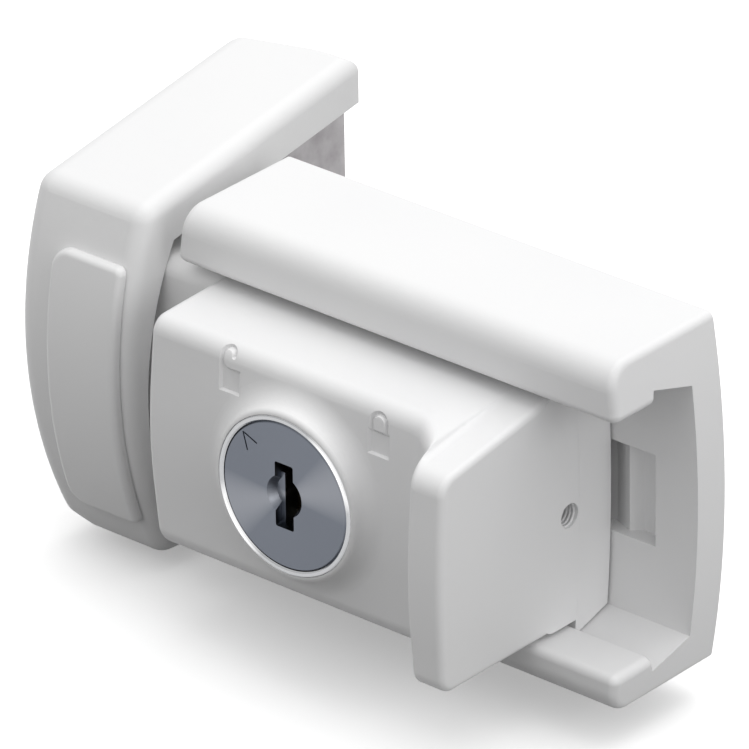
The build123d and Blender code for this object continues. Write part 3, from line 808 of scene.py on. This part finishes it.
def inset(loop: Sequence[Point], distance: float) -> list[Point]:
    """Moves a closed loop towards the side on its left.

    Args:
        loop: the loop, across and up, with no point given twice.
        distance: how far each side moves.

    Returns:
        The moved loop, with a point for each of the first one's.
    """
    points = []
    for before, here, after in zip(loop[-1:] + loop[:-1], loop, loop[1:] + loop[:1]):
        sides = []
        for (a, b), (c, d) in ((before, here), (here, after)):
            length = math.dist((a, b), (c, d))
            sides.append(((b - d) / length, (c - a) / length))
        (a, b), (c, d) = sides
        share = distance / (1 + a * c + b * d)
        points.append((here[0] + share * (a + c), here[1] + share * (b + d)))
    return points


def walls(mouth: Sequence[Point], slope: float, step: float) -> tuple[list[Point], list[Point]]:
    """Pairs a closed loop with the loop a slope inside it.

    Args:
        mouth: the loop, across and up, with its inside on the left.
        slope: how far the second loop is inside the first.
        step: the longest side of the first loop.

    Returns:
        Both loops, with equal numbers of close points.
    """
    floor = inset(mouth, slope)
    sides = zip(mouth, mouth[1:] + mouth[:1], floor, floor[1:] + floor[:1])
    upper, lower = [], []
    for start, end, low_start, low_end in sides:
        parts = max(1, math.ceil(math.dist(start, end) / step))
        for i in range(parts):
            upper.append(tuple(p + (q - p) * i / parts for p, q in zip(start, end)))
            lower.append(tuple(p + (q - p) * i / parts for p, q in zip(low_start, low_end)))
    return upper, lower


@dataclass
class PadlockSign:
    """A sunk padlock pictogram with sloping walls, on the slide's front.

    Args:
        pull: whether the padlock is open or closed.
        middle_x: X of the sign's middle.
        foot_z: Z of its foot.
        width: its body's width.
        shackle_width: the shackle's outer width.
        height: how far the shackle's top is above the foot.
        body_height: its body's height.
        shackle_band: the shackle's thickness.
        shoulder: radius where the open shackle meets the body.
        lean: how far in degrees the sign leans back to follow the case.
        depth: how deep its floor is.
        slope: how far its walls lean in.
        proud: how far the cutting shape's straight mouth stands out of the surface.
        reach: how far the cutting shape reaches in front of the surface.
        step: longest side of the outline on the surface.
        arc_steps: sides of an arc.
    """

    pull: Pull
    middle_x: float
    foot_z: float
    width: float
    shackle_width: float
    height: float
    body_height: float = 3.05 * MM
    shackle_band: float = 0.74 * MM
    shoulder: float = 0.7 * MM
    lean: float = 20.0
    depth: float = 0.36 * MM
    slope: float = 0.34 * MM
    proud: float = 0.03 * MM
    reach: float = 3.0 * MM
    step: float = 0.3 * MM
    arc_steps: int = 14

    def arch(self, centre: float, spring: float, radius: float, start: float, end: float) -> list[Point]:
        """Draws an arc.

        Args:
            centre: across, in the sign's plane.
            spring: up, in the sign's plane.
            radius: the arc's radius.
            start: first angle in degrees, anticlockwise from the right.
            end: last angle in degrees.

        Returns:
            The arc's points.
        """
        turn = (end - start) / self.arc_steps
        angles = [math.radians(start + turn * i) for i in range(self.arc_steps + 1)]
        return [(centre + radius * math.cos(a), spring + radius * math.sin(a)) for a in angles]

    def loops(self) -> list[list[Point]]:
        """Draws the sign in its own plane.

        Returns:
            Its closed loops, across and up, with the sign's inside on their left.
        """
        half = self.width / 2
        outer = self.shackle_width / 2
        inner = outer - self.shackle_band
        spring = self.height - outer
        top = self.body_height
        foot = [(-half, 0.0), (half, 0.0), (half, top)]
        if self.pull is Pull.CLOSED:
            shackle = [(outer, top)] + self.arch(0, spring, outer, 0, 180) + [(-outer, top)]
            hole = self.arch(0, spring, inner, 180, 0) + [(inner, top), (-inner, top)]
            return [foot + shackle + [(-half, top)], hole]
        shift = outer - half
        turn = self.arch(shift - inner + self.shoulder, top + self.shoulder, self.shoulder, 270, 180)
        inside = self.arch(shift, spring, inner, 180, 0)
        free_end = self.arch(shift + (inner + outer) / 2, spring, self.shackle_band / 2, 180, 360)[1:-1]
        outside = self.arch(shift, spring, outer, 0, 180)
        return [foot + turn + inside + free_end + outside]

    def ways(self) -> tuple[Vector, Vector]:
        """Returns the unit directions out of the case and up the sign."""
        lean = math.radians(self.lean)
        return Vector((0, -math.cos(lean), math.sin(lean))), Vector((0, math.sin(lean), math.cos(lean)))

    def rings(self, loop: Sequence[Point], foot: Vector,
              onto: Callable[[Vector, Vector], Vector]) -> list[list[Vector]]:
        """Places one of the sign's loops at each level of the cutting shape.

        Args:
            loop: the loop, across and up.
            foot: the place of the sign's foot.
            onto: moves a place along a direction onto the case.

        Returns:
            The loop on the sign's floor, at its mouth and on the shape's lid.
        """
        out, up = self.ways()

        def hovering(points: Sequence[Point]) -> list[Vector]:
            """Returns the points' places in front of the case."""
            return [foot + Vector((across, 0, 0)) + up * high + out * self.reach for across, high in points]

        def landed(points: Sequence[Point], rise: float) -> list[Vector]:
            """Returns the points' places on the case, moved out by a rise."""
            return [onto(place, -out) + out * rise for place in hovering(points)]

        mouth, floor = walls(loop, self.slope, self.step)
        return [landed(floor, -self.depth), landed(mouth, self.proud), hovering(mouth)]

    def tool(self, body: bpy.types.Object) -> bpy.types.Object:
        """Makes the shape that sinks the sign into a surface.

        Args:
            body: the piece that the sign is on.

        Returns:
            A closed shape whose floor follows the surface, the sign's depth below it.
        """
        onto = front_of(body)
        foot = onto(Vector((self.middle_x, FAR_IN_FRONT, self.foot_z)), Vector((0, 1, 0)))
        shape = bmesh.new()
        rims: dict[str, list[bmesh.types.BMEdge]] = {"floor": [], "lid": []}
        for loop in self.loops():
            rings = [[shape.verts.new(place) for place in ring] for ring in self.rings(loop, foot, onto)]
            for low, high in zip(rings, rings[1:]):
                for i in range(len(low)):
                    shape.faces.new((low[i - 1], low[i], high[i], high[i - 1]))
            for name, ring in (("floor", rings[0]), ("lid", rings[-1])):
                rims[name] += [shape.edges.get((ring[i - 1], ring[i])) for i in range(len(ring))]
        for rim in rims.values():
            bmesh.ops.triangle_fill(shape, edges=rim, use_beauty=True)
        bmesh.ops.recalc_face_normals(shape, faces=shape.faces)
        mesh = bpy.data.meshes.new("stamp")
        shape.to_mesh(mesh)
        shape.free()
        return link("stamp", mesh)


@dataclass
class Slide:
    """The sliding part's case with its grip and signs, and the thread in the hole of its end.

    Args:
        open_sign: the padlock where the arrow stands when the lock is open.
        closed_sign: the padlock where it stands when the lock is locked.
        hole_radius: the hole's radius.
        hole_pitch: the thread's pitch.
        hole_ridge: half-height of the thread's section.
        hole_mouth: how far inside the end's plane the thread stops.
    """

    open_sign: PadlockSign = field(default_factory=lambda: PadlockSign(
        Pull.OPEN, -15.87 * MM, 7.46 * MM, 3.2 * MM, 2.45 * MM, 5.7 * MM))
    closed_sign: PadlockSign = field(default_factory=lambda: PadlockSign(
        Pull.CLOSED, 6.28 * MM, 6.8 * MM, 3.25 * MM, 2.9 * MM, 5.35 * MM))
    hole_radius: float = 1.5 * MM
    hole_pitch: float = 0.5 * MM
    hole_ridge: float = 0.16 * MM
    hole_mouth: float = 0.5 * MM

    def case(self, palette: Palette) -> bpy.types.Object:
        """Makes the white case with its sunk signs.

        Args:
            palette: the finishes.

        Returns:
            The piece that stands for the CAD case.
        """
        case = merged_copy("slider_body", "slide_case")
        cut(case, [sign.tool(case) for sign in (self.open_sign, self.closed_sign)])
        take_shading(case, "slider_body")
        palette.dress(case, "powder_coat")
        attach(case, "slider")
        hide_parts("slider_body")
        return case

    def thread(self, palette: Palette) -> bpy.types.Object:
        """Makes the thread inside the hole in the slide's end, from the screw in it to its mouth.

        Args:
            palette: the finishes.

        Returns:
            The thread's piece.
        """
        screw = middle("grub_screw")
        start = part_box("grub_screw")[1].x
        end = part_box("slide_plate")[1].x - self.hole_mouth
        helix = Thread(Vector((start, screw.y, screw.z)), Vector((1, 0, 0)), end - start,
                       self.hole_radius, self.hole_pitch, self.hole_ridge)
        piece = link("slide_end_thread", helix.mesh(palette.made["powder_coat"]))
        smooth(piece)
        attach(piece, "slider")
        return piece

    def build(self, palette: Palette) -> list[bpy.types.Object]:
        """Makes and dresses the sub-assembly.

        Args:
            palette: the finishes.

        Returns:
            Its pieces.
        """
        return [self.case(palette), self.thread(palette)]


@dataclass
class KeyCylinder:
    """The key cylinder's turning plug, with the direction arrow on its face.

    Args:
        apex: X and Z of the arrow's tip.
        arm_ends: X and Z of the free ends of its two lines.
        line_width: the lines' width.
        line_depth: how deep they are cut.
    """

    apex: Point = (-11.71 * MM, 5.02 * MM)
    arm_ends: tuple[Point, ...] = ((-11.1 * MM, 2.81 * MM), (-9.64 * MM, 4.12 * MM))
    line_width: float = 0.2 * MM
    line_depth: float = 0.16 * MM

    def stroke(self, end: Point, face: float) -> bpy.types.Object:
        """Makes the shape that cuts one line of the arrow.

        Args:
            end: X and Z of the line's free end.
            face: Y of the plug's face.

        Returns:
            A closed shape that stands half in the face.
        """
        start = Vector((self.apex[0], 0, self.apex[1]))
        stop = Vector((end[0], 0, end[1]))
        along = (stop - start).normalized()
        side = along.cross(Vector((0, 1, 0))) * self.line_width / 2
        front = Vector((0, face - self.line_depth, 0))
        corners = [front + corner for corner in (start - side, stop - side, stop + side, start + side)]
        return link("stroke", prism([corners], Vector((0, 2 * self.line_depth, 0))))

    def build(self, palette: Palette) -> list[bpy.types.Object]:
        """Makes and dresses the plug.

        Args:
            palette: the finishes.

        Returns:
            Its pieces.
        """
        plug = merged_copy("cylinder_plug", "turned_plug")
        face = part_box("cylinder_plug")[0].y
        cut(plug, [self.stroke(end, face) for end in self.arm_ends])
        take_shading(plug, "cylinder_plug")
        palette.dress(plug, "nickel_plate")
        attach(plug, "plug")
        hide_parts("cylinder_plug")
        return [plug]


class CarriedNodes:
    """The CAD nodes as they come. Those that no piece replaces keep their own shape and only get a finish."""

    def build(self, palette: Palette) -> list[bpy.types.Object]:
        """Dresses each node in the finish that the record gives it.

        Args:
            palette: the finishes.

        Returns:
            The dressed nodes.
        """
        dressed = []
        for row in frame["record"]["subparts"]:
            piece = frame["nodes"][row["node"]]
            palette.dress(piece, row["material_slot"])
            dressed.append(piece)
        return dressed


@dataclass(frozen=True)
class Lamp:
    """A square soft lamp aimed at the lock.

    Args:
        name: what the lamp is called.
        place: where it stands, in metres.
        size: its side.
        watts: its strength.
    """

    name: str
    place: tuple[float, float, float]
    size: float
    watts: float

    def hang(self) -> None:
        """Puts the lamp in the scene."""
        data = bpy.data.lights.new(self.name, "AREA")
        data.size = self.size
        data.energy = self.watts
        lamp = bpy.data.objects.new(self.name, data)
        lamp.location = self.place
        lamp.rotation_euler = Vector(self.place).to_track_quat("Z", "Y").to_euler()
        bpy.context.scene.collection.objects.link(lamp)


@dataclass
class Studio:
    """A pale floor, soft light from above and the portrait's camera.

    Args:
        floor_half: half of the floor's side.
        floor_roughness: the floor's roughness.
        floor_glow: what the floor adds to its own colour where it is seen.
        azimuth: how far in degrees the camera stands to the right of the lock's front.
        elevation: how far in degrees it stands above it.
        roll: how far in degrees it is turned round its own axis.
        distance: how far it stands from the plane through the target.
        across: how far it is moved to the right.
        above: how far it is moved up.
        lens: its focal length in millimetres.
        near: the nearest distance that it sees.
        far: the farthest.
        target: the point that it was aimed at before it was moved.
        sky: the light from straight above.
        ground: the light from below.
        low_sky: Z of the highest direction that has only the ground's light.
        high_sky: Z of the lowest direction that has the sky's full light.
        lamps: the lamps.
    """

    floor_half: float = 3.0
    floor_roughness: float = 0.9
    floor_glow: float = 0.30
    azimuth: float = 41.13
    elevation: float = 27.35
    roll: float = -0.88
    distance: float = 1.056
    across: float = 9.64 * MM
    above: float = 13.81 * MM
    lens: float = 432.6
    near: float = 0.05
    far: float = 20.0
    target: tuple[float, float, float] = (-31.5 * MM, 0.0, -22.0 * MM)
    sky: float = 1.0
    ground: float = 0.0
    low_sky: float = -0.3
    high_sky: float = 0.7
    lamps: tuple[Lamp, ...] = (
        Lamp("overhead", (0.05, 0.10, 0.75), 0.7, 2.0),
        Lamp("right", (0.85, -0.1, 0.30), 0.5, 1.65),
    )

    def camera(self) -> None:
        """Sets the camera at the portrait's viewing angle."""
        turn, rise, roll = (math.radians(a) for a in (self.azimuth, self.elevation, self.roll))
        aside = math.cos(rise)
        back = Vector((math.sin(turn) * aside, -math.cos(turn) * aside, math.sin(rise)))
        level = Vector((math.cos(turn), math.sin(turn), 0))
        upright = back.cross(level)
        right = level * math.cos(roll) + upright * math.sin(roll)
        up = upright * math.cos(roll) - level * math.sin(roll)
        data = bpy.data.cameras.new("portrait")
        data.lens = self.lens
        data.clip_start = self.near
        data.clip_end = self.far
        camera = bpy.data.objects.new("portrait", data)
        place = Vector(self.target) + back * self.distance + right * self.across + up * self.above
        camera.matrix_world = Matrix.Translation(place) @ Matrix((right, up, back)).transposed().to_4x4()
        bpy.context.scene.collection.objects.link(camera)
        bpy.context.scene.camera = camera

    def world(self) -> None:
        """Makes the surroundings: light from above, and plain white where they are seen."""
        world = bpy.data.worlds.new("studio")
        world.use_nodes = True
        tree = world.node_tree
        shade = tree.nodes["Background"]
        out = tree.nodes["World Output"]
        place = tree.nodes.new("ShaderNodeTexCoord")
        parts = tree.nodes.new("ShaderNodeSeparateXYZ")
        spread = tree.nodes.new("ShaderNodeMapRange")
        heights = {"From Min": self.low_sky, "From Max": self.high_sky}
        strengths = {"To Min": self.ground, "To Max": self.sky}
        for name, value in (heights | strengths).items():
            spread.inputs[name].default_value = value
        white = tree.nodes.new("ShaderNodeBackground")
        white.inputs["Strength"].default_value = 1.0
        white.inputs["Color"].default_value = (1, 1, 1, 1)
        shade.inputs["Color"].default_value = (1, 1, 1, 1)
        choose = tree.nodes.new("ShaderNodeMixShader")
        tree.links.new(place.outputs["Generated"], parts.inputs["Vector"])
        tree.links.new(parts.outputs["Z"], spread.inputs["Value"])
        tree.links.new(spread.outputs["Result"], shade.inputs["Strength"])
        tree.links.new(seen_rays(tree), choose.inputs[0])
        tree.links.new(shade.outputs["Background"], choose.inputs[1])
        tree.links.new(white.outputs["Background"], choose.inputs[2])
        tree.links.new(choose.outputs["Shader"], out.inputs["Surface"])
        bpy.context.scene.world = world

    def floor(self) -> None:
        """Lays the pale floor at the height of the lock's lowest point."""
        low = CAD_BOX[0][2]
        half = self.floor_half
        mesh = bpy.data.meshes.new("floor")
        corners = [(-half, -half, low), (half, -half, low), (half, half, low), (-half, half, low)]
        mesh.from_pydata(corners, [], [(0, 1, 2, 3)])
        floor = link("floor", mesh)
        canvas = Canvas("pale_floor")
        canvas.set(Base_Color=(*Tone.PAPER.value, 1), Roughness=self.floor_roughness,
                   Specular_IOR_Level=0.0)
        glow = canvas.add("Emission")
        glow.inputs["Strength"].default_value = self.floor_glow
        seen = canvas.add("AddShader")
        dim = canvas.add("BsdfDiffuse")
        dim.inputs["Color"].default_value = (*Tone.STUDIO_GREY.value, 1)
        choose = canvas.add("MixShader")
        canvas.join(canvas.shader.outputs["BSDF"], seen.inputs[0])
        canvas.join(glow.outputs["Emission"], seen.inputs[1])
        canvas.join(seen_rays(canvas.tree), choose.inputs[0])
        canvas.join(dim.outputs["BSDF"], choose.inputs[1])
        canvas.join(seen.outputs["Shader"], choose.inputs[2])
        canvas.join(choose.outputs["Shader"], canvas.tree.nodes["Material Output"].inputs["Surface"])
        floor.data.materials.append(canvas.material)

    def build(self) -> None:
        """Sets the whole studio."""
        self.floor()
        self.world()
        self.camera()
        for lamp in self.lamps:
            lamp.hang()
        bpy.context.scene.view_settings.view_transform = "Standard"


def main() -> None:
    """Builds the scene."""
    centre = middle("cylinder_plug")
    palette = Palette((centre.x, centre.z))
    for sub_assembly in (CarriedNodes(), Slide(), KeyCylinder()):
        for piece in sub_assembly.build(palette):
            log.info("%s: %d faces", piece.name, len(piece.data.polygons))
    Studio().build()


if __name__ == "__main__":
    main()
